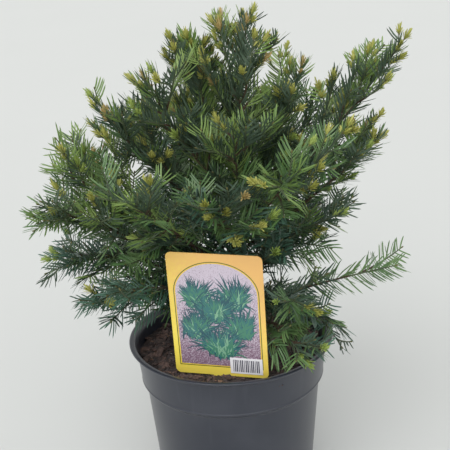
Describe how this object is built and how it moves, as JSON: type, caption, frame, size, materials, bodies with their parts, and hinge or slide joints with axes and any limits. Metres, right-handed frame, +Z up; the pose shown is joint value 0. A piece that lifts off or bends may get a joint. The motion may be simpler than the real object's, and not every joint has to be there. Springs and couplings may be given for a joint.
{
  "type": "potted yew shrub",
  "caption": "Young bushy evergreen yew with upswept boughs and sprays of needles, standing in a tapered plastic nursery pot with a blank picture label.",
  "frame": {"origin": "centre of the pot's flat underside", "axes": "+Z up along the pot's axis and the plant's height; the label stands on the -Y side and faces -Y; +X is to the right seen from there"},
  "size_m": [0.3474, 0.2992, 0.462],
  "materials": {
    "pot_plastic": "satin charcoal plastic",
    "compost": "loose dark bark compost",
    "bark": "flaking reddish-brown bark",
    "needles": "dark green needles with a satin upper side",
    "label_card": "printed plastic card, glossy"
  },
  "bodies": {
    "root": {"bough_back_left": "bark", "bough_back_left_low": "bark", "bough_back_middle": "bark", "bough_back_right": "bark", "bough_back_right_low": "bark", "bough_back_upper": "bark", "bough_front_left": "bark", "bough_front_left_low": "bark", "bough_front_low": "bark", "bough_front_middle": "bark", "bough_front_right": "bark", "bough_front_right_low": "bark", "bough_front_right_skirt": "bark", "bough_front_upper": "bark", "bough_left_high": "bark", "bough_left_low": "bark", "bough_left_middle": "bark", "bough_left_skirt": "bark", "bough_left_upper": "bark", "bough_left_upper_back": "bark", "bough_left_wide": "bark", "bough_right_high": "bark", "bough_right_long": "bark", "bough_right_low": "bark", "bough_right_middle": "bark", "bough_right_skirt": "bark", "bough_right_upper": "bark", "compost": "compost", "label": "label_card", "mass_back_left": "needles", "mass_back_left_low": "needles", "mass_back_middle": "needles", "mass_back_right": "needles", "mass_back_right_low": "needles", "mass_back_upper": "needles", "mass_front_left": "needles", "mass_front_left_low": "needles", "mass_front_low": "needles", "mass_front_middle": "needles", "mass_front_right": "needles", "mass_front_right_low": "needles", "mass_front_right_skirt": "needles", "mass_front_upper": "needles", "mass_left_high": "needles", "mass_left_low": "needles", "mass_left_middle": "needles", "mass_left_skirt": "needles", "mass_left_upper": "needles", "mass_left_upper_back": "needles", "mass_left_wide": "needles", "mass_right_high": "needles", "mass_right_long": "needles", "mass_right_low": "needles", "mass_right_middle": "needles", "mass_right_skirt": "needles", "mass_right_upper": "needles", "mass_top": "needles", "pot": "pot_plastic", "stem": "bark"}
  },
  "joints": []
}
